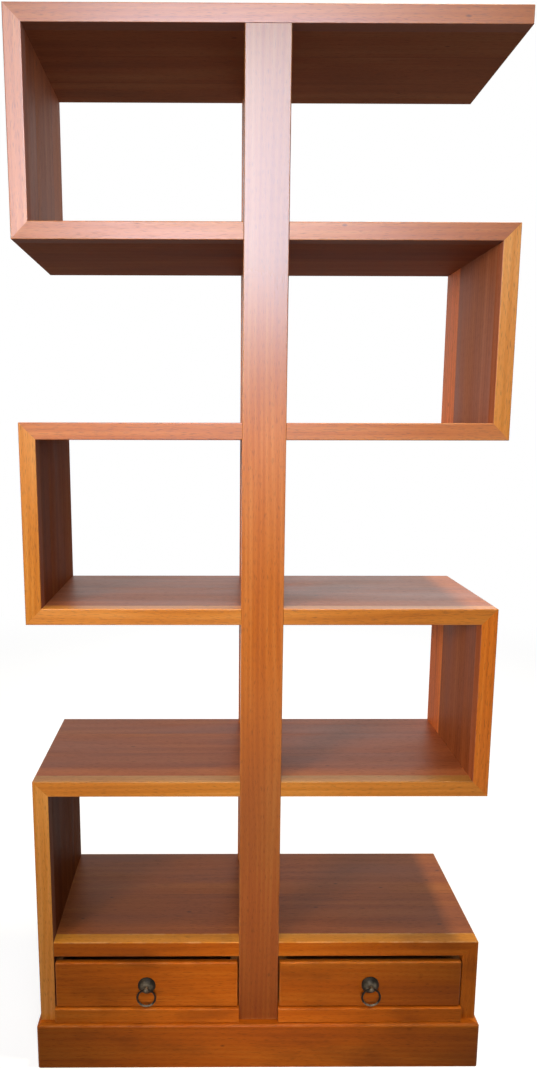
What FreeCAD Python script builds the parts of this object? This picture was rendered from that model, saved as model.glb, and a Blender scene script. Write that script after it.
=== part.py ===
import FreeCAD, Part
import math
import os
from FreeCAD import Vector

# Zigzag bookshelf: boards joined by mitres wind from side to side above a case with two drawers.
# Millimetres. +Z is up, -Y is the front, and the origin is under the middle of the outer box.

# Carcass
body_width = 800.0
body_depth = 300.0
board_thickness = 28.0
tier_pitch = 310.0  # from the top of one shelf to the top of the next
post_width = 72.0
rear_post_width = 60.0
post_thickness = 25.0  # also the depth of the lipping, which stops at the front post
edge_round = 1.6  # eased arrises of the boards and posts
tier_sides = [  # the upright that closes each tier, from the lowest tier up
    "lower_left_side",
    "lower_right_side",
    "middle_left_side",
    "upper_right_side",
    "upper_left_side",
]

# Plinth
plinth_height = 86.0
plinth_proud = 16.0  # in front of the posts
plinth_side_proud = 5.0
plinth_thickness = 28.0
plinth_round = 5.0
block_leg = 46.0
block_height = 60.0

# Drawer case
drawer_opening_height = 100.0
rail_proud = 9.0  # front of the case's floor, in front of the posts
divider_thickness = 18.0
guide_height = 22.0
back_thickness = 8.0

# Drawers
drawer_front_thickness = 10.0
drawer_front_proud = 4.0
drawer_front_round = 2.7
drawer_corner_round = 3.0
drawer_side_gap = 2.0
drawer_floor_gap = 1.0
drawer_top_gap = 10.0
drawer_running_gap = 0.3
drawer_tail_gap = 16.0
drawer_side_thickness = 12.0
drawer_side_step = 1.0  # from the top of the front down to the top of the sides
drawer_bottom_thickness = 6.0
drawer_bottom_rise = 8.0
groove_depth = 4.0
groove_clearance = 0.15

# Pulls
rosette_radius = 16.0
rosette_rim = 1.5
rosette_height = 7.5
collar_radius = 5.2
collar_height = 1.2
eye_radius = 4.2
eye_reach = 10.0  # from the rosette's crown to the tip of the eye
eye_bore_setback = 5.0  # from the tip of the eye back to the middle of its bore
ring_diameter = 36.0
ring_wire_radius = 1.8
ring_clearance = 0.3
shank_radius = 2.5
shank_clearance = 0.2
shank_tail = 3.0
washer_radius = 5.5
washer_thickness = 1.0
nut_width = 8.0
nut_thickness = 4.0

# Hidden joinery
spline_thickness = 4.0
spline_width = 16.0
spline_setback = 18.0  # from each end of the panel's depth
dowel_radius = 4.0
dowel_length = 40.0
dowel_short_part = 15.0  # length of the end that is in the thinner piece
joint_clearance = 0.1
case_dowel_count = 3

# Levels and planes worked out from the sizes above
half_width = body_width / 2
inner_half = half_width - board_thickness
half_post = post_width / 2
half_rear_post = rear_post_width / 2
tier_count = len(tier_sides)
case_floor_bottom = plinth_height
case_floor_top = case_floor_bottom + board_thickness
case_lid_bottom = case_floor_top + drawer_opening_height
first_top = case_lid_bottom + board_thickness
shelf_tops = [first_top + level * tier_pitch for level in range(tier_count + 1)]
post_top = shelf_tops[-1] - board_thickness
pull_reach = drawer_front_proud + rosette_height + eye_reach
front = (pull_reach - body_depth) / 2
back = front + body_depth
lipping_back = front + post_thickness
case_floor_front = front - rail_proud
rear_post_front = back - post_thickness
LEFT, RIGHT = -1, 1
TINY = 1e-6

os.makedirs("parts", exist_ok=True)


def box(x_ends, y_ends, z_ends):
    """A box between two values on each axis, given in either order."""
    low = Vector(min(x_ends), min(y_ends), min(z_ends))
    high = Vector(max(x_ends), max(y_ends), max(z_ends))
    size = high - low
    return Part.makeBox(size.x, size.y, size.z, low)


def prism(outline, run):
    """A flat outline of points, drawn out along a vector."""
    return Part.Face(Part.makePolygon(outline + outline[:1])).extrude(run)


def rod(start, direction, radius, length):
    return Part.makeCylinder(radius, length, start, direction)


def round_waste(corner, inward_a, inward_b, run, radius):
    """What comes off a square corner to round it along the vector run."""
    a = inward_a * radius
    b = inward_b * radius
    square = prism([corner, corner + a, corner + a + b, corner + b], run)
    return square.cut(rod(corner + a + b, run, radius, run.Length))


def fillet_where(shape, radius, wanted):
    """Rounds the straight edges whose two ends satisfy wanted."""
    edges = []
    for edge in shape.Edges:
        ends = [vertex.Point for vertex in edge.Vertexes]
        if len(ends) == 2 and wanted(ends[0], ends[1]):
            edges.append(edge)
    return shape.makeFillet(radius, edges)


def same(*values):
    return max(values) - min(values) < TINY


def save(node, shapes):
    shape = shapes if isinstance(shapes, Part.Shape) else Part.makeCompound(shapes)
    shape.exportStep("parts/" + node + ".step")


# Zigzag outlines

def closed_side(tier):
    """Tiers are closed on the left and on the right in turn, from the lowest tier up."""
    return LEFT if tier % 2 == 0 else RIGHT


def shelf_outline(level):
    """Front view of a shelf, where level 0 is the case's lid and the last level the top board."""
    outer_on_top = {True: (half_width, inner_half), False: (inner_half, half_width)}
    ends = {}
    if level == 0:
        ends[LEFT] = (inner_half, inner_half)
        ends[RIGHT] = outer_on_top[True]
    else:
        below = closed_side(level - 1)
        ends[below] = outer_on_top[True]
        ends[-below] = outer_on_top[False] if level < tier_count else (half_width, half_width)
    top = shelf_tops[level]
    bottom = top - board_thickness
    return [
        Vector(-ends[LEFT][0], front, top),
        Vector(ends[RIGHT][0], front, top),
        Vector(ends[RIGHT][1], front, bottom),
        Vector(-ends[LEFT][1], front, bottom),
    ]


def side_outline(side, outer_ends, inner_ends):
    """Front view of an upright: the heights of its outer face and of its inner face."""
    return [
        Vector(side * half_width, front, outer_ends[0]),
        Vector(side * half_width, front, outer_ends[1]),
        Vector(side * inner_half, front, inner_ends[1]),
        Vector(side * inner_half, front, inner_ends[0]),
    ]


def tier_side_outline(tier):
    top = shelf_tops[tier + 1]
    foot = shelf_tops[tier]
    outer = (foot - board_thickness, top)
    inner = (foot, top - board_thickness)
    if tier == 0:
        outer = (case_floor_bottom, top)
        inner = (case_floor_bottom, top - board_thickness)
    return side_outline(closed_side(tier), outer, inner)


def case_side_outline():
    outer = (case_floor_bottom, shelf_tops[0])
    inner = (case_floor_bottom, case_lid_bottom)
    return side_outline(RIGHT, outer, inner)


def mitre_corners():
    """The side, the outer height and the inner height of each mitred corner."""
    corners = [(RIGHT, shelf_tops[0], case_lid_bottom)]
    for tier in range(tier_count):
        side = closed_side(tier)
        top = shelf_tops[tier + 1]
        corners.append((side, top, top - board_thickness))
        if tier > 0:
            foot = shelf_tops[tier]
            corners.append((side, foot - board_thickness, foot))
    return corners


# Joinery shared by the pieces that meet

def mitre_spline(side, outer, inner, clearance):
    """A strip square to the mitre, half in each board."""
    rising = 1 if outer > inner else -1
    along = Vector(side, 0, rising).normalize() * (spline_thickness / 2 + clearance)
    across = Vector(side, 0, -rising).normalize() * (spline_width / 2 + clearance)
    start = lipping_back + spline_setback - clearance
    end = back - spline_setback + clearance
    middle = Vector(side * (half_width - board_thickness / 2), start, (outer + inner) / 2)
    outline = [
        middle + along + across,
        middle + along - across,
        middle - along - across,
        middle - along + across,
    ]
    return prism(outline, Vector(0, end - start, 0))


def dowel(joint, into_thin, clearance):
    """A dowel through a point of the joint, whose short end points along into_thin."""
    start = joint + into_thin * (dowel_short_part + clearance)
    return rod(start, into_thin * -1, dowel_radius + clearance, dowel_length + 2 * clearance)


def case_dowels(clearance):
    """Dowels from the ends of the lid and of the floor into the case's sides."""
    dowels = []
    joints = [(LEFT, shelf_tops[0]), (LEFT, case_floor_top), (RIGHT, case_floor_top)]
    depth = rear_post_front - lipping_back
    for side, top in joints:
        for number in range(case_dowel_count):
            y = lipping_back + depth * (number + 0.5) / case_dowel_count
            joint = Vector(side * inner_half, y, top - board_thickness / 2)
            dowels.append(dowel(joint, Vector(side, 0, 0), clearance))
    return dowels


def post_dowels(clearance):
    """Dowels that hold both posts to the shelves, the case's floor and the top board."""
    dowels = []
    for top in [case_floor_top] + shelf_tops[:-1]:
        z = top - board_thickness / 2
        dowels.append(dowel(Vector(0, lipping_back, z), Vector(0, -1, 0), clearance))
        dowels.append(dowel(Vector(0, rear_post_front, z), Vector(0, 1, 0), clearance))
    for y in ((front + lipping_back) / 2, (rear_post_front + back) / 2):
        dowels.append(dowel(Vector(0, y, post_top), Vector(0, 0, 1), clearance))
    return dowels


def corner_wastes():
    wastes = []
    run = Vector(0, body_depth, 0)
    for side, outer, inner in mitre_corners():
        corner = Vector(side * half_width, front, outer)
        down = 1 if inner > outer else -1
        wastes.append(round_waste(corner, Vector(-side, 0, 0), Vector(0, 0, down), run, edge_round))
    return wastes


splines = [mitre_spline(*corner, 0.0) for corner in mitre_corners()]
grooves = [mitre_spline(*corner, joint_clearance) for corner in mitre_corners()]
dowel_holes = case_dowels(joint_clearance) + post_dowels(joint_clearance)
carcass_cuts = grooves + dowel_holes + corner_wastes()


# Posts

def post(half_bar, depth_ends, show_face):
    bar = box((-half_bar, half_bar), depth_ends, (case_floor_bottom, post_top))

    def arris(a, b):
        return same(a.x, b.x) and same(a.y, b.y, show_face)

    return fillet_where(bar, edge_round, arris)


front_post = post(half_post, (front, lipping_back), front)
rear_post = post(half_rear_post, (rear_post_front, back), back)
post_space = [
    box((-half_post, half_post), (case_floor_front, lipping_back), (case_floor_bottom, post_top)),
    box((-half_rear_post, half_rear_post), (rear_post_front, back), (case_floor_bottom, post_top)),
]
save("front_post", front_post.cut(dowel_holes))
save("rear_post", rear_post.cut(dowel_holes))


# Boards of the zigzag and of the case, each a panel with a lipping glued along its front

def eased_board(outline, run, free_end=None, depth=body_depth):
    """A board whose long arrises are eased, and those of its free end where it has one."""
    board = prism(outline, Vector(0, depth, 0))

    def arris(a, b):
        if free_end is not None and same(a.x, b.x, free_end):
            return True
        if run == "x":
            return same(a.y, b.y) and same(a.z, b.z)
        return same(a.x, b.x) and same(a.y, b.y)

    return fillet_where(board, edge_round, arris)


def save_board(node, board, front_plane=front):
    band = box((-body_width, body_width), (front_plane, lipping_back), (0, 2 * shelf_tops[-1]))
    cuts = carcass_cuts + post_space
    save(node + "_lipping", board.common(band).cut(cuts))
    save(node, board.cut(band).cut(cuts))


shelf_names = ["shelf_%d" % (level + 1) for level in range(tier_count)] + ["top_board"]
for level, name in enumerate(shelf_names):
    end = half_width if level == tier_count else None
    save_board(name, eased_board(shelf_outline(level), "x", end))

for tier, name in enumerate(tier_sides):
    save_board(name, eased_board(tier_side_outline(tier), "z"))
save_board("case_right_side", eased_board(case_side_outline(), "z"))

case_floor_outline = [
    Vector(-inner_half, case_floor_front, case_floor_top),
    Vector(inner_half, case_floor_front, case_floor_top),
    Vector(inner_half, case_floor_front, case_floor_bottom),
    Vector(-inner_half, case_floor_front, case_floor_bottom),
]
case_floor = eased_board(case_floor_outline, "x", depth=back - case_floor_front)
save_board("case_floor", case_floor, case_floor_front)

save("mitre_splines", splines)
save("case_dowels", case_dowels(0.0))
save("post_dowels", post_dowels(0.0))


# Inside of the drawer case

opening_z = (case_floor_top, case_lid_bottom)
inside_y = (lipping_back, rear_post_front)
half_divider = divider_thickness / 2
save("drawer_divider", box((-half_divider, half_divider), inside_y, opening_z))
guide_z = (case_floor_top, case_floor_top + guide_height)
back_y = (back - back_thickness, back)
back_panels = []
for side, name in ((LEFT, "left"), (RIGHT, "right")):
    save(name + "_drawer_guide", box((side * half_divider, side * half_post), inside_y, guide_z))
    back_panels.append(box((side * half_rear_post, side * inner_half), back_y, opening_z))
save("case_back_panels", back_panels)


# Plinth under the case, mitred at the front corners

plinth_half = half_width + plinth_side_proud
plinth_inner = plinth_half - plinth_thickness
plinth_front_face = front - plinth_proud
plinth_front_back = plinth_front_face + plinth_thickness
rise = Vector(0, 0, plinth_height)


def plinth_board(outline, top_arris):
    board = fillet_where(prism(outline, rise), plinth_round, top_arris)
    corners = []
    for side in (LEFT, RIGHT):
        corner = Vector(side * plinth_half, plinth_front_face, 0)
        corners.append(round_waste(corner, Vector(-side, 0, 0), Vector(0, 1, 0), rise, plinth_round))
    return board.cut(corners)


def on_front_top(a, b):
    return same(a.y, b.y, plinth_front_face) and same(a.z, b.z, plinth_height)


front_outline = [
    Vector(-plinth_half, plinth_front_face, 0),
    Vector(plinth_half, plinth_front_face, 0),
    Vector(plinth_inner, plinth_front_back, 0),
    Vector(-plinth_inner, plinth_front_back, 0),
]
save("plinth_front", plinth_board(front_outline, on_front_top))

plinth_blocks = []
rear_rail_front = back - plinth_thickness
block_bottom = plinth_height - block_height
for side, name in ((LEFT, "left"), (RIGHT, "right")):
    end_outline = [
        Vector(side * plinth_half, plinth_front_face, 0),
        Vector(side * plinth_inner, plinth_front_back, 0),
        Vector(side * plinth_inner, back, 0),
        Vector(side * plinth_half, back, 0),
    ]

    def on_outer_top(a, b):
        return same(a.x, b.x, side * plinth_half) and same(a.z, b.z, plinth_height)

    save("plinth_" + name, plinth_board(end_outline, on_outer_top))
    for y, inward in ((plinth_front_back, 1), (rear_rail_front, -1)):
        corner = Vector(side * plinth_inner, y, block_bottom)
        along_x = corner + Vector(-side * block_leg, 0, 0)
        along_y = corner + Vector(0, inward * block_leg, 0)
        plinth_blocks.append(prism([corner, along_x, along_y], Vector(0, 0, block_height)))
save("plinth_rear", box((-plinth_inner, plinth_inner), (rear_rail_front, back), (0, plinth_height)))
save("plinth_blocks", plinth_blocks)


# Drawers

front_face = front - drawer_front_proud
front_rear = front_face + drawer_front_thickness
drawer_end = back - back_thickness - drawer_tail_gap
front_low = case_floor_top + drawer_floor_gap
front_high = case_lid_bottom - drawer_top_gap
side_low = case_floor_top + drawer_running_gap
side_high = front_high - drawer_side_step
bottom_low = side_low + drawer_bottom_rise
bottom_high = bottom_low + drawer_bottom_thickness
pull_z = (front_low + front_high) / 2
pull_x = (half_post + inner_half) / 2
shank_hole_radius = shank_radius + shank_clearance


def drawer_front(side, bottom_groove):
    ends = (side * (half_post + drawer_side_gap), side * (inner_half - drawer_side_gap))
    slab = box(ends, (front_face, front_rear), (front_low, front_high))

    def corner(a, b):
        return same(a.x, b.x) and same(a.z, b.z)

    def face_arris(a, b):
        return same(a.y, b.y, front_face)

    slab = fillet_where(slab, drawer_corner_round, corner)
    slab = fillet_where(slab, drawer_front_round, face_arris)
    pull_centre = Vector(side * pull_x, front_face, pull_z)
    hole = rod(pull_centre, Vector(0, 1, 0), shank_hole_radius, drawer_front_thickness)
    return slab.cut([bottom_groove, hole])


def save_drawer(side, name):
    inner = half_post + drawer_side_gap
    outer = inner_half - drawer_side_gap
    inner_wall = inner + drawer_side_thickness
    outer_wall = outer - drawer_side_thickness
    side_y = (front_rear, drawer_end)
    side_z = (side_low, side_high)
    back_y = (drawer_end - drawer_side_thickness, drawer_end)
    reach = groove_depth - groove_clearance
    bottom = box(
        (side * (inner_wall - reach), side * (outer_wall + reach)),
        (front_rear - reach, drawer_end),
        (bottom_low, bottom_high),
    )
    bottom_groove = box(
        (side * (inner_wall - groove_depth), side * (outer_wall + groove_depth)),
        (front_rear - groove_depth, drawer_end),
        (bottom_low - groove_clearance, bottom_high + groove_clearance),
    )
    walls = {
        "inner_side": box((side * inner, side * inner_wall), side_y, side_z),
        "outer_side": box((side * outer_wall, side * outer), side_y, side_z),
    }
    for wall, shape in walls.items():
        save(name + "_drawer_" + wall, shape.cut(bottom_groove))
    back_wall = box((side * inner_wall, side * outer_wall), back_y, (bottom_high, side_high))
    save(name + "_drawer_back", back_wall)
    save(name + "_drawer_bottom", bottom)
    save(name + "_drawer_front", drawer_front(side, bottom_groove))


# Pulls: a domed rosette, an eye on a shank through the drawer front, and a ring in the eye

crown = -rosette_height
eye_tip = crown - eye_reach
bore_y = eye_tip + eye_bore_setback
ring_radius = ring_diameter / 2 - ring_wire_radius
ring_sag = ring_radius - math.sqrt(ring_radius ** 2 - eye_radius ** 2)  # within the width of the eye
eye_bore_radius = ring_wire_radius + ring_sag / 2 + ring_clearance
nut_back = drawer_front_thickness + washer_thickness + nut_thickness
forward = Vector(0, -1, 0)
rearward = Vector(0, 1, 0)


def rosette():
    """A cap of a sphere on a short rim, drilled for the shank and flat where the collar sits."""
    rim_square = rosette_radius ** 2 + rosette_rim ** 2
    seat_square = collar_radius ** 2 + rosette_height ** 2
    centre = (seat_square - rim_square) / (2 * (rosette_height - rosette_rim))
    cap_radius = math.hypot(collar_radius, rosette_height - centre)
    low_angle = math.atan2(rosette_rim - centre, rosette_radius)
    high_angle = math.atan2(rosette_height - centre, collar_radius)
    middle = (low_angle + high_angle) / 2
    inner_rim = Vector(shank_hole_radius, 0, 0)
    outer_rim = Vector(rosette_radius, 0, 0)
    shoulder = Vector(rosette_radius, -rosette_rim, 0)
    on_cap = Vector(cap_radius * math.cos(middle), -centre - cap_radius * math.sin(middle), 0)
    seat_outer = Vector(collar_radius, crown, 0)
    seat_inner = Vector(shank_hole_radius, crown, 0)
    wire = Part.Wire([
        Part.makeLine(inner_rim, outer_rim),
        Part.makeLine(outer_rim, shoulder),
        Part.Arc(shoulder, on_cap, seat_outer).toShape(),
        Part.makeLine(seat_outer, seat_inner),
        Part.makeLine(seat_inner, inner_rim),
    ])
    return Part.Face(wire).revolve(Vector(0, 0, 0), Vector(0, 1, 0), 360)


def eye():
    """Collar, neck with a round tip and a cross bore, and the shank behind them."""
    neck_length = eye_reach - eye_radius
    shank_length = rosette_height + nut_back + shank_tail
    pieces = [
        rod(Vector(0, crown, 0), forward, eye_radius, neck_length),
        Part.makeSphere(eye_radius, Vector(0, crown - neck_length, 0)),
        rod(Vector(0, crown, 0), rearward, shank_radius, shank_length),
    ]
    shape = rod(Vector(0, crown, 0), forward, collar_radius, collar_height).fuse(pieces)
    bore = rod(Vector(-2 * eye_radius, bore_y, 0), Vector(1, 0, 0), eye_bore_radius, 4 * eye_radius)
    return shape.cut(bore).removeSplitter()


def nut_and_washer():
    washer = rod(Vector(0, drawer_front_thickness, 0), rearward, washer_radius, washer_thickness)
    corner = nut_width / math.sqrt(3)
    nut_front = drawer_front_thickness + washer_thickness
    hexagon = []
    for step in range(6):
        angle = math.radians(60 * step)
        hexagon.append(Vector(corner * math.cos(angle), nut_front, corner * math.sin(angle)))
    nut = prism(hexagon, Vector(0, nut_thickness, 0))
    hole = rod(Vector(0, drawer_front_thickness, 0), rearward, shank_hole_radius, nut_back)
    return Part.makeCompound([washer.cut(hole), nut.cut(hole)])


def ring():
    centre = Vector(0, bore_y, ring_sag / 2 - ring_radius)
    return Part.makeTorus(ring_radius, ring_wire_radius, centre, Vector(0, 1, 0))


for side, name in ((LEFT, "left"), (RIGHT, "right")):
    save_drawer(side, name)
    place = Vector(side * pull_x, front_face, pull_z)
    pull = {"rosette": rosette(), "eye": eye(), "nut": nut_and_washer(), "ring": ring()}
    for piece, shape in pull.items():
        save(name + "_pull_" + piece, shape.translated(place))
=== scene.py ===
import math
import bpy
from mathutils import Matrix, Vector


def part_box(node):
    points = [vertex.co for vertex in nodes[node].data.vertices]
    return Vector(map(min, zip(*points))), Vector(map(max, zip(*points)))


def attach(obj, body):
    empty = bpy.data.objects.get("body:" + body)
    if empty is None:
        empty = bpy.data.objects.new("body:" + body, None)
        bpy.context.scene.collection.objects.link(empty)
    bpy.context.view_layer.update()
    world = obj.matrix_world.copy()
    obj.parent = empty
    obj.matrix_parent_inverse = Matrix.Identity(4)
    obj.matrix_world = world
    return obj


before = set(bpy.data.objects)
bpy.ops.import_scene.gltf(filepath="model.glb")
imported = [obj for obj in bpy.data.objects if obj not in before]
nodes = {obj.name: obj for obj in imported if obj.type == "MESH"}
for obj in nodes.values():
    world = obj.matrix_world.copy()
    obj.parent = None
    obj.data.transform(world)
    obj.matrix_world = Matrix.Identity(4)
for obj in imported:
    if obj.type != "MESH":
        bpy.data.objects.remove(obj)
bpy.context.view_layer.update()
scene = bpy.context.scene
perMetre = 1000.0  # patterns are worked out in millimetres
print("frame loaded,", len(nodes), "nodes")


def toLinear(hexColour):
    channels = [int(hexColour[i:i + 2], 16) / 255 for i in (1, 3, 5)]
    linear = [c / 12.92 if c <= 0.04045 else ((c + 0.055) / 1.055) ** 2.4 for c in channels]
    return (*linear, 1.0)


# adds one node; a link may be a socket, a node (its first output) or a plain value
def addNode(tree, kind, links=None, **settings):
    node = tree.nodes.new(kind)
    for name, value in settings.items():
        setattr(node, name, value)
    for socket, value in (links or {}).items():
        if isinstance(value, bpy.types.Node):
            value = value.outputs[0]
        if isinstance(value, bpy.types.NodeSocket):
            tree.links.new(value, node.inputs[socket])
        else:
            node.inputs[socket].default_value = value
    return node


# named inputs of a node group, with their kinds and first values
def addInputs(tree, inputs):
    for name, (kind, value) in inputs.items():
        socket = tree.interface.new_socket(name=name, in_out="INPUT", socket_type=kind)
        if value is not None:
            socket.default_value = value


def startMaterial(name):
    material = bpy.data.materials.new(name)
    material.use_nodes = True
    material.node_tree.nodes.clear()
    return material


# camera: fitted to the corners of the boards in the photograph, sizes in pixels of 537 x 1069
photoCamera = {
    "width": 537,
    "height": 1069,
    "focal": 785.645,
    "axisPixel": (220.128, 553.829),
    "yaw": 0.006565,
    "pitch": 0.16245,
    "roll": 0.001843,
    "place": (-0.08003, -1.43135, 1.16824),
    "sensor": 36.0,
}


def setCamera(spec):
    data = bpy.data.cameras.new("photoCamera")
    camera = bpy.data.objects.new("photoCamera", data)
    scene.collection.objects.link(camera)
    longSide = max(spec["width"], spec["height"])
    data.sensor_width = spec["sensor"]
    data.lens = spec["focal"] / longSide * spec["sensor"]
    data.shift_x = (spec["width"] / 2 - spec["axisPixel"][0]) / longSide
    data.shift_y = (spec["axisPixel"][1] - spec["height"] / 2) / longSide
    yaw, pitch, roll = spec["yaw"], spec["pitch"], spec["roll"]
    level = Vector((math.cos(yaw), -math.sin(yaw), 0))
    forward = Vector((math.sin(yaw), math.cos(yaw), 0))
    ahead = forward * math.cos(pitch) - Vector((0, 0, math.sin(pitch)))
    upright = level.cross(ahead)
    right = level * math.cos(roll) + upright * math.sin(roll)
    up = upright * math.cos(roll) - level * math.sin(roll)
    turn = Matrix((right, up, -ahead)).transposed().to_4x4()
    camera.matrix_world = Matrix.Translation(Vector(spec["place"])) @ turn
    scene.camera = camera


setCamera(photoCamera)
scene.view_settings.view_transform = "Standard"
print("camera set")

# studio: paper floor, white surroundings and a dark card that breaks up the reflections
studio = {
    "floorHalf": 14.0,
    "floorBounce": "#625F5B",    # what lights the object from below
    "floorShow": "#B4B2AF",      # paper in view, with a glow that lifts it to white and keeps the shadow
    "floorGlow": 0.78,
    "floorNear": 1.6,            # from here on the paper fades to plain white
    "floorFar": 3.6,
    "worldLight": 0.125,
    "white": "#FFFFFF",
}
flagCard = {"half": 4.0, "top": 1.3, "away": 2.45, "colour": "#2A2623"}

# a softbox that isn't mirrored shows in no reflection; one that doesn't light shows only in reflections
softboxes = {
    "windowSoftbox": {
        "place": (-0.16, -2.75, 2.28), "aim": (-0.03, 0.0, 1.7), "size": (1.1, 1.4),
        "power": 11.0, "spread": 72, "colour": "#DCE9FF", "mirrored": False},
    "windowPane": {  # the bright window in the lacquer of the fronts
        "place": (-0.05, -2.7, 2.27), "aim": (0.07, 0.0, 1.7), "size": (1.32, 1.4),
        "power": 20.5, "spread": 72, "colour": "#DCE9FF", "lights": False},
    "leftSoftbox": {
        "place": (-1.7, -2.1, 1.45), "aim": (0.05, 0.0, 0.88), "size": (0.7, 0.7),
        "power": 4.1, "spread": 47, "colour": "#FFEBD2"},
    "baseSoftbox": {
        "place": (0.0, -2.3, 0.95), "aim": (0.0, 0.0, 0.02), "size": (0.25, 0.25),
        "power": 0.4, "spread": 18, "colour": "#FFE6C8", "mirrored": False},
    "highSoftbox": {  # falls past the boards above on the right ends of the shelves
        "place": (1.18, -0.2, 6.0), "aim": (0.1, 0.0, 0.6), "size": (0.5, 0.5),
        "power": 19.0, "spread": 60, "colour": "#FFF0CC"},
    "frontSoftbox": {  # falls past the boards above on the front edges of the shelves
        "place": (-0.1, -1.1, 6.0), "aim": (0.0, 0.0, 0.6), "size": (0.5, 0.5),
        "power": 7.0, "spread": 60, "mirrored": False},
    "rearPane": {  # a bright spot behind on the right, in the lacquer of the shelves' tops
        "place": (0.75, 2.0, 1.32), "aim": (0.2, 0.0, 0.86), "size": (1.0, 0.4),
        "power": 0.45, "spread": 120, "lights": False},
    "rearSoftbox": {
        "place": (0.3, 3.3, 1.0), "aim": (0.0, 0.0, 0.9), "size": (1.8, 1.4),
        "power": 20.0, "spread": 130, "mirrored": False},
}


# 1 where the camera, a reflection or a see-through surface looks, 0 where the surface only lights others
def lookedAt(tree):
    path = addNode(tree, "ShaderNodeLightPath").outputs
    direct = addNode(tree, "ShaderNodeMath", {
        0: path["Is Camera Ray"], 1: path["Is Glossy Ray"]}, operation="MAXIMUM")
    return addNode(tree, "ShaderNodeMath", {
        0: direct, 1: path["Is Transmission Ray"]}, operation="MAXIMUM")


def addSheet(name, corners, material):
    mesh = bpy.data.meshes.new(name)
    mesh.from_pydata(corners, [], [(0, 1, 2, 3)])
    mesh.materials.append(material)
    sheet = bpy.data.objects.new(name, mesh)
    scene.collection.objects.link(sheet)
    return sheet


def addFloor(spec):
    material = startMaterial("matt paper floor")
    tree = material.node_tree
    place = addNode(tree, "ShaderNodeTexCoord").outputs["Object"]
    away = addNode(tree, "ShaderNodeVectorMath", {0: place}, operation="LENGTH").outputs["Value"]
    far = addNode(tree, "ShaderNodeMapRange", {
        "Value": away, "From Min": spec["floorNear"], "From Max": spec["floorFar"]},
        interpolation_type="SMOOTHSTEP")
    paper = addNode(tree, "ShaderNodeBsdfDiffuse", {"Color": toLinear(spec["floorShow"])})
    glow = addNode(tree, "ShaderNodeEmission", {"Strength": spec["floorGlow"]})
    near = addNode(tree, "ShaderNodeAddShader", {0: paper, 1: glow})
    white = addNode(tree, "ShaderNodeEmission", {"Color": toLinear(spec["white"]), "Strength": 1.0})
    shown = addNode(tree, "ShaderNodeMixShader", {0: far, 1: near, 2: white})
    bounce = addNode(tree, "ShaderNodeBsdfDiffuse", {"Color": toLinear(spec["floorBounce"])})
    either = addNode(tree, "ShaderNodeMixShader", {0: lookedAt(tree), 1: bounce, 2: shown})
    addNode(tree, "ShaderNodeOutputMaterial", {"Surface": either})
    half = spec["floorHalf"]
    corners = [(-half, -half, 0), (half, -half, 0), (half, half, 0), (-half, half, 0)]
    floor = addSheet("studioFloor", corners, material)


# the dark card stands behind the camera, below the window, and only reflections show it
def addFlag(spec):
    material = startMaterial("dark felt")
    tree = material.node_tree
    felt = addNode(tree, "ShaderNodeBsdfDiffuse", {"Color": toLinear(spec["colour"])})
    addNode(tree, "ShaderNodeOutputMaterial", {"Surface": felt})
    half, top, away = spec["half"], spec["top"], spec["away"]
    corners = [(-half, -away, 0), (half, -away, 0), (half, -away, top), (-half, -away, top)]
    flag = addSheet("darkFlag", corners, material)
    flag.visible_camera = False
    flag.visible_diffuse = False
    flag.visible_shadow = False


def addWorld(spec):
    world = bpy.data.worlds.new("studioWorld")
    scene.world = world
    world.use_nodes = True
    tree = world.node_tree
    tree.nodes.clear()
    colour = toLinear(spec["white"])
    light = addNode(tree, "ShaderNodeBackground", {"Color": colour, "Strength": spec["worldLight"]})
    white = addNode(tree, "ShaderNodeBackground", {"Color": colour, "Strength": 1.0})
    either = addNode(tree, "ShaderNodeMixShader", {0: lookedAt(tree), 1: light, 2: white})
    addNode(tree, "ShaderNodeOutputWorld", {"Surface": either})


def addSoftbox(name, spec):
    data = bpy.data.lights.new(name, "AREA")
    data.shape = "RECTANGLE"
    data.size, data.size_y = spec["size"]
    data.energy = spec["power"]
    data.color = toLinear(spec.get("colour", studio["white"]))[:3]
    data.spread = math.radians(spec["spread"])
    lamp = bpy.data.objects.new(name, data)
    scene.collection.objects.link(lamp)
    lamp.location = spec["place"]
    lamp.rotation_euler = (Vector(spec["aim"]) - lamp.location).to_track_quat("-Z", "Y").to_euler()
    lamp.visible_camera = False
    lamp.visible_glossy = spec.get("mirrored", True)
    lamp.visible_diffuse = spec.get("lights", True)


addFloor(studio)
addFlag(flagCard)
addWorld(studio)
for softboxName, softbox in softboxes.items():
    addSoftbox(softboxName, softbox)
print("studio lit")

# Mahogany: broad tone streaks and slow clouds along the grain, faint growth rings round a wandering pith,
# fine fibre and open pores, in planks glued edge to edge. The group works in millimetres, with the grain
# along X and the planks side by side along Y.
noGlue = 9000.0  # far outside every board
figureInputs = {
    "Grain": ("NodeSocketVector", None),
    "Seed": ("NodeSocketFloat", 0.0),
    "Dark": ("NodeSocketColor", (0.1, 0.04, 0.02, 1)),
    "Mid": ("NodeSocketColor", (0.2, 0.08, 0.04, 1)),
    "Light": ("NodeSocketColor", (0.3, 0.14, 0.07, 1)),
    "First glue line": ("NodeSocketFloat", noGlue),
    "Second glue line": ("NodeSocketFloat", noGlue),
    "First tone": ("NodeSocketFloat", 1.0),
    "Second tone": ("NodeSocketFloat", 1.0),
    "Third tone": ("NodeSocketFloat", 1.0),
    "Ring width": ("NodeSocketFloat", 11.0),
    "Sheen": ("NodeSocketFloat", 0.3),
}
figureOutputs = {
    "Color": "NodeSocketColor",
    "Roughness": "NodeSocketFloat",
    "Height": "NodeSocketFloat",
}
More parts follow.
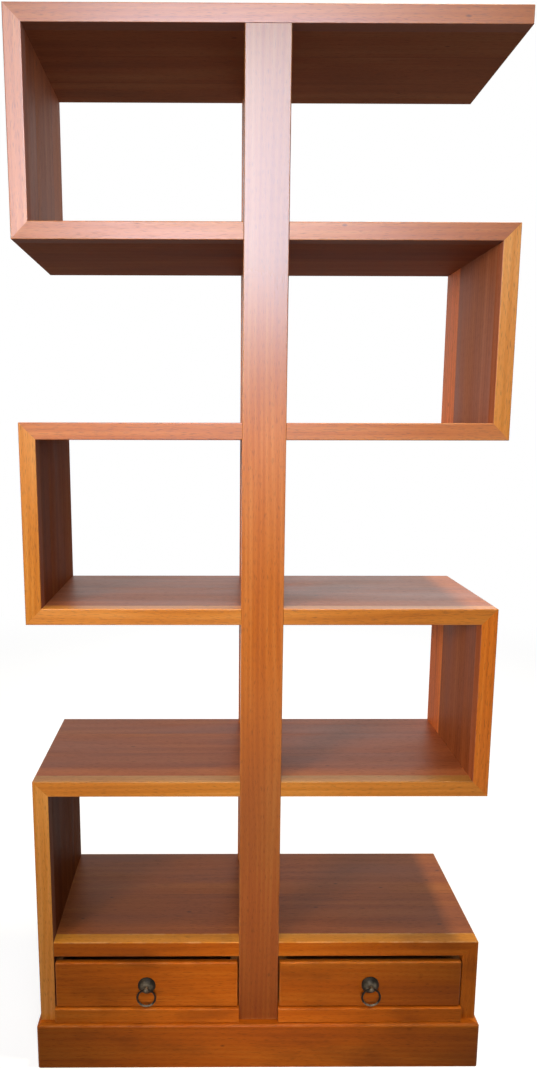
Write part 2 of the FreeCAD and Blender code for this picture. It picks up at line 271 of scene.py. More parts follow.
figure = {
    "plankScatter": (5000.0, 160.0, 160.0),  # how far the planks of one board lie apart in the log
    "plankStep": 7.31,                       # seed from one plank to the next
    "pithAway": (0.0, 40.0, 180.0),
    "waver": (1100.0, 130.0, 130.0),         # length and width of the pith's wandering
    "waverReach": (0.0, 70.0, 70.0),
    "streak": (700.0, 24.0, 24.0),
    "cloud": (420.0, 75.0, 75.0),
    "fibre": (230.0, 2.6, 2.6),              # real fibre is finer; this is what still shows at this size
    "pore": (13.0, 0.9, 0.9),                # real pores are 0.3 mm wide; drawn coarser to show
    "detail": {"waver": 2.0, "streak": 2.0, "cloud": 2.0, "fibre": 3.0, "pore": 1.0},
    "depth": {"ring": -0.16, "streak": 0.8, "cloud": 1.0, "fibre": 0.42},
    "poreFrom": (0.57, 0.72),
    "poreShade": 0.42,
    "poreSink": -0.7,
    "knot": (90.0, 38.0, 38.0),              # one pin knot in about this much wood
    "knotFrom": (0.065, 0.025),
    "knotShade": 0.6,
    "glueHalf": 0.5,
    "glueShade": 0.4,
    "shadow": "#23100A",                     # colour in pores, knots and glue lines
    "roughFibre": 0.12,
    "roughCloud": 0.3,
    "roughPore": 0.1,
    "reliefDepth": 0.0004,                   # in metres
}
middle = 0.5  # mean of a noise field, of a ring's turn and of the figure
acrossGrain = (0.0, 1.0, 1.0)


def buildFigure(spec):
    tree = bpy.data.node_groups.new("mahoganyFigure", "ShaderNodeTree")
    addInputs(tree, figureInputs)
    for name, kind in figureOutputs.items():
        tree.interface.new_socket(name=name, in_out="OUTPUT", socket_type=kind)
    given = addNode(tree, "NodeGroupInput").outputs
    across = addNode(tree, "ShaderNodeSeparateXYZ", {0: given["Grain"]}).outputs[1]
    firstGlue, secondGlue = given["First glue line"], given["Second glue line"]
    shadow = toLinear(spec["shadow"])

    # which plank of the board this is, and where that plank lay in the log
    pastFirst = addNode(tree, "ShaderNodeMath", {0: across, 1: firstGlue}, operation="GREATER_THAN")
    pastSecond = addNode(tree, "ShaderNodeMath", {0: across, 1: secondGlue}, operation="GREATER_THAN")
    plank = addNode(tree, "ShaderNodeMath", {0: pastFirst, 1: pastSecond}, operation="ADD")
    number = addNode(tree, "ShaderNodeMath", {
        0: plank, 1: spec["plankStep"], 2: given["Seed"]}, operation="MULTIPLY_ADD")
    draw = addNode(tree, "ShaderNodeTexWhiteNoise", {"W": number}, noise_dimensions="1D").outputs["Color"]
    spread = addNode(tree, "ShaderNodeVectorMath", {0: draw, 1: spec["plankScatter"]}, operation="MULTIPLY")
    inLog = addNode(tree, "ShaderNodeVectorMath", {0: given["Grain"], 1: spread}, operation="ADD")

    # noise fields drawn out along the grain
    fields = {}
    for field, detail in spec["detail"].items():
        at = addNode(tree, "ShaderNodeVectorMath", {0: inLog, 1: spec[field]}, operation="DIVIDE")
        fields[field] = addNode(tree, "ShaderNodeTexNoise", {"Vector": at, "Scale": 1.0, "Detail": detail})

    # rings round the pith
    centred = addNode(tree, "ShaderNodeVectorMath", {
        0: fields["waver"].outputs["Color"], 1: (middle, middle, middle)}, operation="SUBTRACT")
    shifted = addNode(tree, "ShaderNodeVectorMath", {
        0: centred, 1: spec["waverReach"], 2: inLog}, operation="MULTIPLY_ADD")
    fromPith = addNode(tree, "ShaderNodeVectorMath", {0: shifted, 1: spec["pithAway"]}, operation="ADD")
    flat = addNode(tree, "ShaderNodeVectorMath", {0: fromPith, 1: acrossGrain}, operation="MULTIPLY")
    radius = addNode(tree, "ShaderNodeVectorMath", {0: flat}, operation="LENGTH").outputs["Value"]
    turns = addNode(tree, "ShaderNodeMath", {0: radius, 1: given["Ring width"]}, operation="DIVIDE")
    wave = addNode(tree, "ShaderNodeMath", {0: turns, 1: middle}, operation="PINGPONG")
    late = addNode(tree, "ShaderNodeMapRange", {
        "Value": wave, "From Max": middle}, interpolation_type="SMOOTHSTEP")

    # one figure from 0, dark, to 1, light; the first value keeps its mean in the middle
    depth = spec["depth"]
    mean = middle - middle * sum(depth.values())
    value = addNode(tree, "ShaderNodeMath", {0: late, 1: depth["ring"], 2: mean}, operation="MULTIPLY_ADD")
    for field in ("streak", "cloud", "fibre"):
        value = addNode(tree, "ShaderNodeMath", {
            0: fields[field], 1: depth[field], 2: value}, operation="MULTIPLY_ADD")
    lower = addNode(tree, "ShaderNodeMapRange", {"Value": value, "From Max": middle})
    upper = addNode(tree, "ShaderNodeMapRange", {"Value": value, "From Min": middle})
    darker = addNode(tree, "ShaderNodeMix", {
        0: lower, 6: given["Dark"], 7: given["Mid"]}, data_type="RGBA").outputs[2]
    wood = addNode(tree, "ShaderNodeMix", {
        0: upper, 6: darker, 7: given["Light"]}, data_type="RGBA").outputs[2]

    # each plank's own tone
    toneTwo = addNode(tree, "ShaderNodeMix", {
        0: pastFirst, 2: given["First tone"], 3: given["Second tone"]}).outputs[0]
    tone = addNode(tree, "ShaderNodeMix", {0: pastSecond, 2: toneTwo, 3: given["Third tone"]}).outputs[0]
    toned = addNode(tree, "ShaderNodeVectorMath", {0: wood, "Scale": tone}, operation="SCALE")

    # dark pores, a few pin knots and thin glue lines
    poreLow, poreHigh = spec["poreFrom"]
    pore = addNode(tree, "ShaderNodeMapRange", {
        "Value": fields["pore"], "From Min": poreLow, "From Max": poreHigh})
    poreShade = addNode(tree, "ShaderNodeMath", {0: pore, 1: spec["poreShade"]}, operation="MULTIPLY")
    pored = addNode(tree, "ShaderNodeMix", {0: poreShade, 6: toned, 7: shadow}, data_type="RGBA").outputs[2]
    atKnot = addNode(tree, "ShaderNodeVectorMath", {0: inLog, 1: spec["knot"]}, operation="DIVIDE")
    fromKnot = addNode(tree, "ShaderNodeTexVoronoi", {"Vector": atKnot, "Scale": 1.0}).outputs["Distance"]
    knotEdge, knotCore = spec["knotFrom"]
    knot = addNode(tree, "ShaderNodeMapRange", {
        "Value": fromKnot, "From Min": knotEdge, "From Max": knotCore, "To Max": spec["knotShade"]})
    knotted = addNode(tree, "ShaderNodeMix", {0: knot, 6: pored, 7: shadow}, data_type="RGBA").outputs[2]
    nearFirst = addNode(tree, "ShaderNodeMath", {
        0: across, 1: firstGlue, 2: spec["glueHalf"]}, operation="COMPARE")
    nearSecond = addNode(tree, "ShaderNodeMath", {
        0: across, 1: secondGlue, 2: spec["glueHalf"]}, operation="COMPARE")
    glue = addNode(tree, "ShaderNodeMath", {0: nearFirst, 1: nearSecond}, operation="MAXIMUM")
    glueShade = addNode(tree, "ShaderNodeMath", {0: glue, 1: spec["glueShade"]}, operation="MULTIPLY")
    done = addNode(tree, "ShaderNodeMix", {0: glueShade, 6: knotted, 7: shadow}, data_type="RGBA").outputs[2]

    # roughness in slow patches, broken up by fibre and pores, and a relief of the same two
    sheen = addNode(tree, "ShaderNodeMath", {
        0: given["Sheen"], 1: spec["roughCloud"] * middle}, operation="SUBTRACT")
    patchy = addNode(tree, "ShaderNodeMath", {
        0: fields["cloud"], 1: spec["roughCloud"], 2: sheen}, operation="MULTIPLY_ADD")
    fibrous = addNode(tree, "ShaderNodeMath", {
        0: fields["fibre"], 1: spec["roughFibre"], 2: patchy}, operation="MULTIPLY_ADD")
    rough = addNode(tree, "ShaderNodeMath", {
        0: pore, 1: spec["roughPore"], 2: fibrous}, operation="MULTIPLY_ADD")
    raised = addNode(tree, "ShaderNodeMath", {
        0: pore, 1: spec["poreSink"], 2: fields["fibre"]}, operation="MULTIPLY_ADD")
    addNode(tree, "NodeGroupOutput", {"Color": done, "Roughness": rough, "Height": raised})
    return tree


mahoganyFigure = buildFigure(figure)
grainTurns = {"x": (0, 0, 0), "z": (0, math.pi / 2, 0), "y": (0, 0, -math.pi / 2)}  # brings the grain to X

# satin lacquer over the figure: a broad soft reflection that breaks up a little along the fibre;
# undersides are only sealed and stay matt, and the lacquer has worn a little paler along the arrises
finish = {
    "highLacquer": {"specular": 1.0, "bump": 0.04, "wear": 0.25},
    "fullLacquer": {"specular": 0.62, "bump": 0.04, "wear": 0.25},
    "lacquer": {"specular": 0.52, "bump": 0.04, "wear": 0.25},
    "thinLacquer": {"specular": 0.28, "bump": 0.04, "wear": 0.25},
    "lowLacquer": {"specular": 0.09, "bump": 0.04, "wear": 0.25},
    "shelf": {"specular": 0.22, "bump": 0.04, "wear": 0.2},
    "polishedShelf": {"specular": 0.42, "bump": 0.04, "wear": 0.2},
    "side": {"specular": 0.12, "bump": 0.04, "wear": 0.2},
    "polishedSide": {"specular": 0.48, "bump": 0.04, "wear": 0.2},
    "oiledSide": {"specular": 0.01, "bump": 0.04, "wear": 0.2},
    "sanded": {"specular": 0.25, "bump": 0.12, "wear": 0.0},
}
wearSpec = {"colour": "#C98B4E", "reach": (4.0, 0.8), "patch": 23.0, "detail": 3.0, "from": (0.42, 0.72)}
dullRoughness = 0.82
faceLean = {"under": -0.5, "beside": 0.5, "above": 0.3}  # of the normal, for a face to count as such


# how worn the lacquer is: patches along the edges of the piece's box
def wornEdges(tree, node, place, spec):
    low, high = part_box(node)
    centre = (low + high) / 2 * perMetre
    half = (high - low) / 2 * perMetre
    away = addNode(tree, "ShaderNodeVectorMath", {0: place, 1: centre}, operation="SUBTRACT")
    size = addNode(tree, "ShaderNodeVectorMath", {0: away}, operation="ABSOLUTE")
    inside = addNode(tree, "ShaderNodeVectorMath", {0: half, 1: size}, operation="SUBTRACT")
    x, y, z = addNode(tree, "ShaderNodeSeparateXYZ", {0: inside}).outputs
    # the second smallest distance to a face of the box is the distance to its nearest edge
    least = addNode(tree, "ShaderNodeMath", {0: x, 1: y}, operation="MINIMUM")
    most = addNode(tree, "ShaderNodeMath", {0: x, 1: y}, operation="MAXIMUM")
    other = addNode(tree, "ShaderNodeMath", {0: most, 1: z}, operation="MINIMUM")
    toEdge = addNode(tree, "ShaderNodeMath", {0: least, 1: other}, operation="MAXIMUM")
    reachOut, reachIn = spec["reach"]
    near = addNode(tree, "ShaderNodeMapRange", {"Value": toEdge, "From Min": reachOut, "From Max": reachIn})
    patches = addNode(tree, "ShaderNodeTexNoise", {
        "Vector": place, "Scale": 1 / spec["patch"], "Detail": spec["detail"]})
    patchLow, patchHigh = spec["from"]
    rubbed = addNode(tree, "ShaderNodeMapRange", {
        "Value": patches, "From Min": patchLow, "From Max": patchHigh})
    return addNode(tree, "ShaderNodeMath", {0: near, 1: rubbed}, operation="MULTIPLY")


# painted shade, with another roughness, towards the ends of an upright piece
def paintShadeAtEnds(tree, place, colour, rough, ends):
    height = addNode(tree, "ShaderNodeSeparateXYZ", {0: place}).outputs[2]
    for end in ends.values():
        near = addNode(tree, "ShaderNodeMapRange", {
            "Value": height, "From Min": end["from"], "From Max": end["to"]})
        shaded = addNode(tree, "ShaderNodeVectorMath", {0: colour, 1: end["shade"]}, operation="MULTIPLY")
        colour = addNode(tree, "ShaderNodeMix", {0: near, 6: colour, 7: shaded}, data_type="RGBA").outputs[2]
        rough = addNode(tree, "ShaderNodeMix", {0: near, 2: rough, 3: end["roughness"]}).outputs[0]
    return colour, rough


# dirt rubbed into the wood in soft patches
def addGrime(tree, place, colour, spec):
    at = addNode(tree, "ShaderNodeVectorMath", {0: place, 1: spec["size"]}, operation="DIVIDE")
    patches = addNode(tree, "ShaderNodeTexNoise", {"Vector": at, "Scale": 1.0, "Detail": spec["detail"]})
    patchLow, patchHigh = spec["from"]
    dirty = addNode(tree, "ShaderNodeMapRange", {
        "Value": patches, "From Min": patchLow, "From Max": patchHigh, "To Max": spec["most"]})
    dirt = toLinear(spec["colour"])
    return addNode(tree, "ShaderNodeMix", {0: dirty, 6: colour, 7: dirt}, data_type="RGBA").outputs[2]


# matt undersides; painted shade darkens the face that looks to +X, painted light or shade tones the top face
# (crown), and stain tones the underside and the faces beside, which are then matt too
def toneFaces(tree, colour, rough, stain, crown, inward):
    normal = addNode(tree, "ShaderNodeNewGeometry").outputs["True Normal"]
    lean = addNode(tree, "ShaderNodeSeparateXYZ", {0: normal}).outputs
    x, z = lean["X"], lean["Z"]
    # painted shade on the face that looks into the bay, to +X
    if inward:
        within = addNode(tree, "ShaderNodeMath", {0: x, 1: faceLean["beside"]}, operation="GREATER_THAN")
        darker = addNode(tree, "ShaderNodeVectorMath", {0: colour, "Scale": inward}, operation="SCALE")
        colour = addNode(tree, "ShaderNodeMix", {
            0: within, 6: colour, 7: darker}, data_type="RGBA").outputs[2]
    # painted light or shade on the top face
    if crown:
        above = addNode(tree, "ShaderNodeMath", {0: z, 1: faceLean["above"]}, operation="GREATER_THAN")
        toned = addNode(tree, "ShaderNodeVectorMath", {0: colour, 1: crown}, operation="MULTIPLY")
        colour = addNode(tree, "ShaderNodeMix", {0: above, 6: colour, 7: toned}, data_type="RGBA").outputs[2]
    dull = addNode(tree, "ShaderNodeMath", {0: z, 1: faceLean["under"]}, operation="LESS_THAN")
    if stain:
        sideways = addNode(tree, "ShaderNodeMath", {0: x}, operation="ABSOLUTE")
        beside = addNode(tree, "ShaderNodeMath", {
            0: sideways, 1: faceLean["beside"]}, operation="GREATER_THAN")
        dull = addNode(tree, "ShaderNodeMath", {0: dull, 1: beside}, operation="MAXIMUM")
        stained = addNode(tree, "ShaderNodeVectorMath", {0: colour, 1: stain}, operation="MULTIPLY")
        colour = addNode(tree, "ShaderNodeMix", {0: dull, 6: colour, 7: stained}, data_type="RGBA").outputs[2]
    rough = addNode(tree, "ShaderNodeMix", {0: dull, 2: rough, 3: dullRoughness}).outputs[0]
    return colour, rough


def woodMaterial(name, node, grain, colours, values, kind,
                 stain=None, ends=None, grime=None, crown=None, inward=None):
    material = startMaterial(name + " " + node)
    tree = material.node_tree
    spec = finish[kind]
    metres = addNode(tree, "ShaderNodeTexCoord").outputs["Object"]
    place = addNode(tree, "ShaderNodeVectorMath", {0: metres, "Scale": perMetre}, operation="SCALE")
    inGrain = addNode(tree, "ShaderNodeMapping", {"Vector": place, "Rotation": grainTurns[grain]})
    shades = {shade: toLinear(colour) for shade, colour in colours.items()}
    wood = addNode(tree, "ShaderNodeGroup", {
        "Grain": inGrain, **values, **shades}, node_tree=mahoganyFigure).outputs
    colour, rough = wood["Color"], wood["Roughness"]
    # painted shade towards the ends of the piece
    if ends:
        colour, rough = paintShadeAtEnds(tree, place, colour, rough, ends)
    if grime:
        colour = addGrime(tree, place, colour, grime)
    if spec["wear"]:
        edges = wornEdges(tree, node, place, wearSpec)
        worn = addNode(tree, "ShaderNodeMath", {0: edges, 1: spec["wear"]}, operation="MULTIPLY")
        colour = addNode(tree, "ShaderNodeMix", {
            0: worn, 6: colour, 7: toLinear(wearSpec["colour"])}, data_type="RGBA").outputs[2]
    if kind != "sanded":
        colour, rough = toneFaces(tree, colour, rough, stain, crown, inward)
    relief = addNode(tree, "ShaderNodeBump", {
        "Height": wood["Height"], "Strength": spec["bump"], "Distance": figure["reliefDepth"]})
    surface = addNode(tree, "ShaderNodeBsdfPrincipled", {
        "Base Color": colour, "Roughness": rough, "Normal": relief, "Specular IOR Level": spec["specular"]})
    addNode(tree, "ShaderNodeOutputMaterial", {"Surface": surface})
    return material


def dress(node, material):
    slots = nodes[node].data.materials
    slots.clear()
    slots.append(material)


# boards: red-brown panels of two or three glued planks, glue lines and tones from the front to the back
panelColours = {"Dark": "#7E3E1B", "Mid": "#9B5228", "Light": "#B26A39"}
paleColours = {"Dark": "#875032", "Mid": "#A8633D", "Light": "#BA7B51"}
lowColours = {"Dark": "#7E3E16", "Mid": "#9B5221", "Light": "#B26A32"}
panels = {
    "top_board": {
        "grain": "x", "glue": (-28, 74), "tones": (0.84, 0.88, 0.92), "seed": 1.3, "colours": paleColours},
    "shelf_5": {"grain": "x", "glue": (12, noGlue), "tones": (0.74, 0.8, 0.76), "seed": 2.7},
    "shelf_4": {"grain": "x", "glue": (-5, 88), "tones": (1.0, 0.92, 1.05), "seed": 3.9},
    "shelf_3": {
        "grain": "x", "glue": (20, noGlue), "tones": (1.3, 1.2, 1.2), "seed": 4.2, "finish": "polishedShelf"},
    "shelf_2": {"grain": "x", "glue": (-18, 80), "tones": (1.25, 1.28, 1.2), "seed": 5.8},
    "shelf_1": {
        "grain": "x", "glue": (10, noGlue), "tones": (0.86, 0.9, 0.87), "seed": 6.1, "colours": lowColours},
    "upper_left_side": {
        "grain": "z", "glue": (-58, 80), "tones": (1.1, 1.15, 1.4), "seed": 7.4, "finish": "polishedSide"},
    "upper_right_side": {
        "grain": "z", "glue": (-60, 78), "tones": (1.12, 1.02, 2.5), "seed": 8.5, "finish": "polishedSide"},
    # inward: painted shade on the face that looks into the bay
    "middle_left_side": {
        "grain": "z", "glue": (-50, 84), "tones": (0.95, 1.0, 1.1), "seed": 9.2, "finish": "oiledSide",
        "inward": 0.82},
    "lower_right_side": {"grain": "z", "glue": (-62, 76), "tones": (0.95, 0.87, 1.95), "seed": 10.6},
    # inward: painted shade on the face that looks into the bay
    "lower_left_side": {
        "grain": "z", "glue": (-55, 82), "tones": (0.9, 0.95, 1.0), "seed": 11.9, "finish": "oiledSide",
        "inward": 0.44},
    "case_right_side": {"grain": "z", "glue": (-40, 90), "tones": (1.0, 0.95, 1.1), "seed": 12.4},
    "case_floor": {"grain": "x", "glue": (0, noGlue), "tones": (1.0, 0.95, 1.0), "seed": 13.7},
}
panelFinish = {"x": "shelf", "z": "side"}  # by the direction of the grain
panelSheen = {"x": 0.36, "z": 0.55}
for node, spec in panels.items():
    grain = spec["grain"]
    values = {
        "Seed": spec["seed"],
        "First glue line": spec["glue"][0],
        "Second glue line": spec["glue"][1],
        "First tone": spec["tones"][0],
        "Second tone": spec["tones"][1],
        "Third tone": spec["tones"][2],
        "Sheen": panelSheen[grain],
    }
    kind = spec.get("finish", panelFinish[grain])
    colours = spec.get("colours", panelColours)
    material = woodMaterial(
        "lacquered mahogany panel", node, grain, colours, values, kind, inward=spec.get("inward"))
    dress(node, material)

# the window pane is for the fronts and the pulls: seen from behind, it would wash out the tops of the panels
windowMirrors = bpy.data.collections.new("windowMirrors")
for node, piece in nodes.items():
    if node not in panels:
        windowMirrors.objects.link(piece)
bpy.data.objects["windowPane"].light_linking.receiver_collection = windowMirrors

# lippings and posts: straight-grained solid wood, more orange than the panels
solidColours = {"Dark": "#A54C0E", "Mid": "#C36A1B", "Light": "#D88A3C"}
goldenColours = {"Dark": "#A75C17", "Mid": "#C57A2A", "Light": "#D9984B"}
lippings = {
    "top_board": {"tone": 0.8, "finish": "fullLacquer", "colours": solidColours},
    "shelf_5": {"tone": 0.79, "finish": "lacquer", "colours": solidColours},
    "shelf_4": {"tone": 0.95, "finish": "fullLacquer", "colours": solidColours},
    "shelf_3": {"tone": 1.15, "finish": "lacquer", "colours": goldenColours},
    # shelf_2's crown is painted shade on the top face of its lipping, a little greyer
    "shelf_2": {
        "tone": 1.22, "finish": "thinLacquer", "colours": goldenColours, "crown": (0.65, 0.76, 1.1)},
    "upper_left_side": {"tone": 0.88, "finish": "highLacquer", "colours": solidColours},
    "upper_right_side": {"tone": 1.2, "finish": "thinLacquer", "colours": goldenColours},
    "middle_left_side": {"tone": 1.1, "finish": "thinLacquer", "colours": goldenColours},
    "lower_right_side": {"tone": 1.3, "finish": "thinLacquer", "colours": solidColours},
    "lower_left_side": {"tone": 1.15, "finish": "thinLacquer", "colours": goldenColours},
}
lippingSeeds = {"first": 20.3, "step": 1.7}


# brings a lipping's middle tone to that of the panels, where it faces inwards, with the painted inward shade
# of the left sides
def panelStain(board, colours):
    tone = panels[board]["tones"][0] * panels[board].get("inward", 1.0)
    pairs = zip(toLinear(panelColours["Mid"])[:3], toLinear(colours["Mid"])[:3])
    return [tone * panel / lipping for panel, lipping in pairs]


for order, (board, spec) in enumerate(lippings.items()):
    node = board + "_lipping"
    colours = spec["colours"]
    values = {"Seed": lippingSeeds["first"] + lippingSeeds["step"] * order, "First tone": spec["tone"]}
    material = woodMaterial(
        "lacquered mahogany", node, panels[board]["grain"], colours, values, spec["finish"],
        stain=panelStain(board, colours), crown=spec.get("crown"))
    dress(node, material)

# painted shade makes the front post darker towards both ends, and redder towards the floor, where it is also
# dull
postEndPaintedShade = {
    "foot": {"from": 760.0, "to": 120.0, "shade": (0.36, 0.3, 0.12), "roughness": 0.9},
    "head": {"from": 1150.0, "to": 1420.0, "shade": (0.52, 0.57, 0.62), "roughness": 0.27},
}
posts = {
    "front_post": {"tone": 1.0, "seed": 50.2, "ends": postEndPaintedShade},
    "rear_post": {"tone": 0.9, "seed": 51.8},
}
for node, spec in posts.items():
    values = {"Seed": spec["seed"], "First tone": spec["tone"]}
    material = woodMaterial(
        "lacquered mahogany", node, "z", solidColours, values, "lacquer", ends=spec.get("ends"))
    dress(node, material)

# plinth, drawer fronts and the lippings of the case: the same wood, darker and redder, with a thinner lacquer
baseColours = {"Dark": "#9C4A0D", "Mid": "#B85E12", "Light": "#C87422"}
basePieces = {
    "plinth_front": {"grain": "x", "tone": 0.7, "seed": 52.9},
    "plinth_left": {"grain": "y", "tone": 0.95, "seed": 53.3},
    "plinth_right": {"grain": "y", "tone": 0.95, "seed": 54.6},
    "plinth_rear": {"grain": "x", "tone": 0.9, "seed": 55.1},
    "left_drawer_front": {"grain": "x", "tone": 0.84, "seed": 56.7},
    "right_drawer_front": {"grain": "x", "tone": 0.7, "seed": 57.5},
    # shelf_1's crown is painted light on the top face of its lipping: a lit strip along the front edge
    "shelf_1_lipping": {"grain": "x", "tone": 0.9, "seed": 58.8, "crown": (1.35, 2.2, 4.6)},
    "case_floor_lipping": {"grain": "x", "tone": 0.9, "seed": 59.4},
    "case_right_side_lipping": {"grain": "z", "tone": 0.95, "seed": 61.2},
}
floorGrime = {
    "size": (150.0, 150.0, 55.0), "detail": 4.0, "from": (0.5, 0.72), "most": 0.5, "colour": "#5A2A08"}
for node, spec in basePieces.items():
    values = {"Seed": spec["seed"], "First tone": spec["tone"]}
    material = woodMaterial(
        "dark lacquered mahogany", node, spec["grain"], baseColours, values, "lowLacquer",
        grime=floorGrime, crown=spec.get("crown"))
    dress(node, material)
print("mahogany dressed")

# inside of the drawers and the hidden pieces: plain sanded softer wood, no lacquer, matt
sandedWood = {
    "colours": {"Dark": "#64401F", "Mid": "#7C532E", "Light": "#91673C"},
    "ringWidth": 6.0,
    "sheen": 0.55,
    "firstSeed": 70.4,
    "seedStep": 1.3,
}
sandedPieces = {
    "drawer_divider": "y",
    "left_drawer_guide": "y",
    "right_drawer_guide": "y",
    "case_back_panels": "x",
    "plinth_blocks": "z",
    "mitre_splines": "y",
    "case_dowels": "x",
    "post_dowels": "y",
    "left_drawer_inner_side": "y",
    "left_drawer_outer_side": "y",
    "left_drawer_back": "x",
    "left_drawer_bottom": "x",
    "right_drawer_inner_side": "y",
    "right_drawer_outer_side": "y",
    "right_drawer_back": "x",
    "right_drawer_bottom": "x",
}
for order, (node, grain) in enumerate(sandedPieces.items()):
    values = {
        "Seed": sandedWood["firstSeed"] + sandedWood["seedStep"] * order,
        "Ring width": sandedWood["ringWidth"],
        "Sheen": sandedWood["sheen"],
    }
    dress(node, woodMaterial("sanded meranti", node, grain, sandedWood["colours"], values, "sanded"))

# pulls: cast brass darkened to antique bronze, rubbed brighter where fingers and the ring touch it
bronze = {
    "dark": "#2B2620",
    "rubbed": "#7C7161",
    "patchSize": 6.0,
    "patchDetail": 3.0,
    "grainSize": 0.9,
    "grainDetail": 2.0,
    "rubCore": 0.3,              # share of the rubbed radius that is fully bright
    "rubFrom": (0.1, 0.55),
    "roughness": (0.34, 0.6),
    "bump": 0.25,
    "reliefDepth": 0.0003,       # in metres
}
pullPieces = {  # radius in millimetres that is rubbed, and the place it is rubbed about
    "rosette": {"rubRadius": 15.0, "about": "crown"},
    "eye": {"rubRadius": 18.0, "about": "crown"},
    "ring": {"rubRadius": 22.0, "about": "grip"},
}


def bronzeMaterial(name, spec, centre, rubRadius):
    material = startMaterial(name)
    tree = material.node_tree
    metres = addNode(tree, "ShaderNodeTexCoord").outputs["Object"]
    place = addNode(tree, "ShaderNodeVectorMath", {0: metres, "Scale": perMetre}, operation="SCALE")
    patches = addNode(tree, "ShaderNodeTexNoise", {
        "Vector": place, "Scale": 1 / spec["patchSize"], "Detail": spec["patchDetail"]})
    cast = addNode(tree, "ShaderNodeTexNoise", {
        "Vector": place, "Scale": 1 / spec["grainSize"], "Detail": spec["grainDetail"]})
    apart = addNode(tree, "ShaderNodeVectorMath", {
        0: place, 1: centre}, operation="DISTANCE").outputs["Value"]
    near = addNode(tree, "ShaderNodeMapRange", {
        "Value": apart, "From Min": rubRadius, "From Max": rubRadius * spec["rubCore"]})
    worn = addNode(tree, "ShaderNodeMath", {0: near, 1: patches}, operation="MULTIPLY")
    rubLow, rubHigh = spec["rubFrom"]
    wear = addNode(tree, "ShaderNodeMapRange", {"Value": worn, "From Min": rubLow, "From Max": rubHigh})
    colour = addNode(tree, "ShaderNodeMix", {
        0: wear, 6: toLinear(spec["dark"]), 7: toLinear(spec["rubbed"])}, data_type="RGBA").outputs[2]
    smoothest, roughest = spec["roughness"]
    rough = addNode(tree, "ShaderNodeMapRange", {"Value": patches, "To Min": smoothest, "To Max": roughest})
    relief = addNode(tree, "ShaderNodeBump", {
        "Height": cast, "Strength": spec["bump"], "Distance": spec["reliefDepth"]})
    surface = addNode(tree, "ShaderNodeBsdfPrincipled", {
        "Base Color": colour, "Roughness": rough, "Normal": relief, "Metallic": 1.0})
    addNode(tree, "ShaderNodeOutputMaterial", {"Surface": surface})
    return material


for side in ("left", "right"):
    low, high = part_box(side + "_pull_rosette")
    ringLow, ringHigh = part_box(side + "_pull_ring")
    places = {
        "crown": Vector(((low.x + high.x) / 2, low.y, (low.z + high.z) / 2)) * perMetre,
        "grip": Vector(((ringLow.x + ringHigh.x) / 2, ringLow.y, ringLow.z)) * perMetre,
    }
    for piece, spec in pullPieces.items():
        name = "antique bronze " + piece + " " + side
        dress(side + "_pull_" + piece, bronzeMaterial(name, bronze, places[spec["about"]], spec["rubRadius"]))

# nuts and washers: bright zinc plating over steel, slightly mottled
zinc = {"dull": "#9A9DA0", "bright": "#C3C6C8", "spangle": 1.5, "detail": 2.0, "roughness": (0.28, 0.42)}


def zincMaterial(spec):
    material = startMaterial("zinc plated steel")
    tree = material.node_tree
    metres = addNode(tree, "ShaderNodeTexCoord").outputs["Object"]
    spangle = addNode(tree, "ShaderNodeTexNoise", {
        "Vector": metres, "Scale": perMetre / spec["spangle"], "Detail": spec["detail"]})
    colour = addNode(tree, "ShaderNodeMix", {
        0: spangle, 6: toLinear(spec["dull"]), 7: toLinear(spec["bright"])}, data_type="RGBA").outputs[2]
    smoothest, roughest = spec["roughness"]
    rough = addNode(tree, "ShaderNodeMapRange", {"Value": spangle, "To Min": smoothest, "To Max": roughest})
    surface = addNode(tree, "ShaderNodeBsdfPrincipled", {
        "Base Color": colour, "Roughness": rough, "Metallic": 1.0})
    addNode(tree, "ShaderNodeOutputMaterial", {"Surface": surface})
    return material


zincPlate = zincMaterial(zinc)
for side in ("left", "right"):
    dress(side + "_pull_nut", zincPlate)
print("pulls dressed")

# panel pins: round-headed wire nails in two rows on each panel of the case back, heads in the same zinc
panelPins = {
    "row": 7,
    "rows": 2,
    "inset": 0.01,
    "headRadius": 0.0022,
    "headHeight": 0.0008,
    "segments": 12,
    "rings": 6,
}
pinInputs = {
    "Row length": ("NodeSocketFloat", 0.3),
    "Row distance": ("NodeSocketFloat", 0.08),
    "Pins in a row": ("NodeSocketInt", 7),
    "Head radius": ("NodeSocketFloat", 0.002),
    "Head height": ("NodeSocketFloat", 0.001),
    "Left panel": ("NodeSocketVector", (0, 0, 0)),
    "Right panel": ("NodeSocketVector", (0, 0, 0)),
    "Material": ("NodeSocketMaterial", None),
}


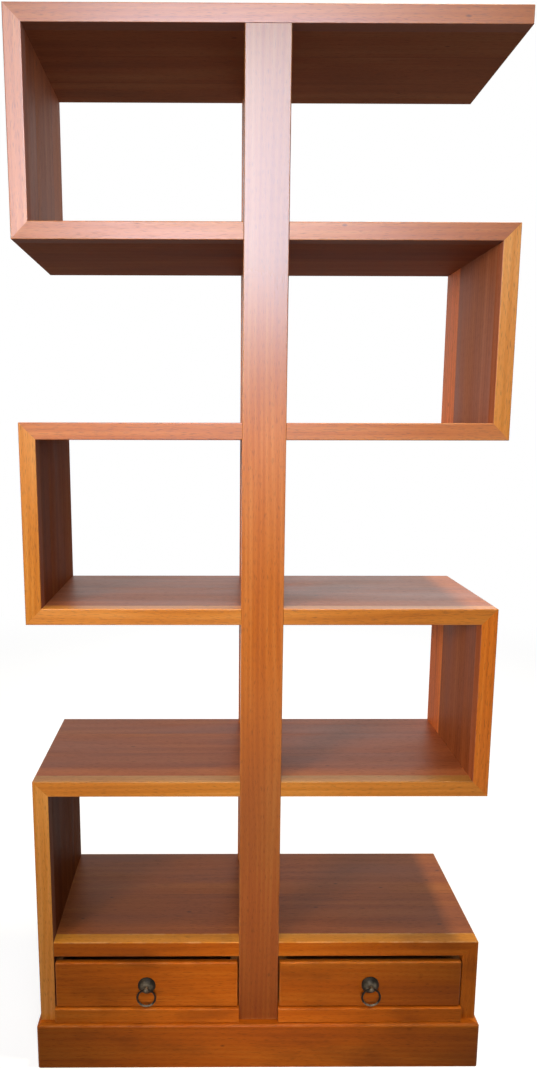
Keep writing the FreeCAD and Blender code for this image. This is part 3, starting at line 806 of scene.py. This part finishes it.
def buildPinRows(spec):
    tree = bpy.data.node_groups.new("panelPinRows", "GeometryNodeTree")
    addInputs(tree, pinInputs)
    tree.interface.new_socket(name="Geometry", in_out="OUTPUT", socket_type="NodeSocketGeometry")
    given = addNode(tree, "NodeGroupInput").outputs
    rows = addNode(tree, "GeometryNodeMeshGrid", {
        "Size X": given["Row length"], "Size Y": given["Row distance"],
        "Vertices X": given["Pins in a row"], "Vertices Y": spec["rows"]})
    ball = addNode(tree, "GeometryNodeMeshUVSphere", {
        "Segments": spec["segments"], "Rings": spec["rings"], "Radius": 1.0})
    headSize = addNode(tree, "ShaderNodeCombineXYZ", {
        0: given["Head radius"], 1: given["Head radius"], 2: given["Head height"]})
    head = addNode(tree, "GeometryNodeTransform", {"Geometry": ball, "Scale": headSize})
    pins = addNode(tree, "GeometryNodeInstanceOnPoints", {"Points": rows, "Instance": head})
    both = addNode(tree, "GeometryNodeJoinGeometry")
    upright = (math.pi / 2, 0, 0)
    for panel in ("Left panel", "Right panel"):
        placed = addNode(tree, "GeometryNodeTransform", {
            "Geometry": pins, "Translation": given[panel], "Rotation": upright})
        tree.links.new(placed.outputs[0], both.inputs[0])
    real = addNode(tree, "GeometryNodeRealizeInstances", {"Geometry": both})
    zinced = addNode(tree, "GeometryNodeSetMaterial", {"Geometry": real, "Material": given["Material"]})
    addNode(tree, "NodeGroupOutput", {"Geometry": zinced})
    return tree


def addPins(spec):
    low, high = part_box("case_back_panels")
    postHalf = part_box("rear_post")[1].x
    panelMiddle = (postHalf + high.x) / 2
    level = (low.z + high.z) / 2
    pins = bpy.data.objects.new("casePanelPins", bpy.data.meshes.new("casePanelPins"))
    scene.collection.objects.link(pins)
    tree = buildPinRows(spec)
    values = {
        "Row length": high.x - postHalf - 2 * spec["inset"],
        "Row distance": high.z - low.z - 2 * spec["inset"],
        "Pins in a row": spec["row"],
        "Head radius": spec["headRadius"],
        "Head height": spec["headHeight"],
        "Left panel": (-panelMiddle, high.y, level),
        "Right panel": (panelMiddle, high.y, level),
        "Material": zincPlate,
    }
    rows = pins.modifiers.new("panelPinRows", "NODES")
    rows.node_group = tree
    for item in tree.interface.items_tree:
        if item.in_out == "INPUT":
            rows[item.identifier] = values[item.name]
    seen = bpy.context.evaluated_depsgraph_get()
    plain = bpy.data.meshes.new_from_object(pins.evaluated_get(seen), depsgraph=seen)
    pins.modifiers.remove(rows)
    pins.data = plain
    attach(pins, "frame")
    print("panel pins:", len(plain.polygons), "faces")


addPins(panelPins)
